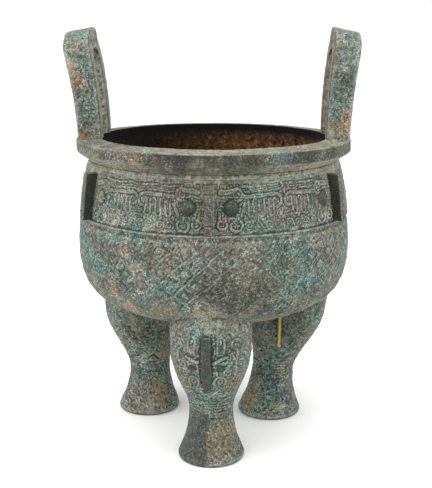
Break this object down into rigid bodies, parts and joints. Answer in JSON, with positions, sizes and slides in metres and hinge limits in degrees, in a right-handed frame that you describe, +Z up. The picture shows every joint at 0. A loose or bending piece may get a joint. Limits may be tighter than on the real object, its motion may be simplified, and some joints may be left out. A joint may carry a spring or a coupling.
{
  "type": "bronze tripod vessel",
  "caption": "Round cast-bronze ding cooking vessel with a deep belly, thick everted rim, upright loop handles, flanged mask frieze and bulbous mask legs.",
  "frame": {"origin": "on the ground under the middle of the bowl, in the plane of the three feet", "axes": "+Z up through the bowl; -Y towards the front leg; the handles stand at -X and +X"},
  "size_m": [0.2408, 0.2438, 0.3505],
  "materials": {
    "bronze": "cast bronze with a crusty grey-green patina, worn brown and coppery in places"
  },
  "bodies": {
    "root": {"ding_vessel": "bronze"}
  },
  "joints": []
}
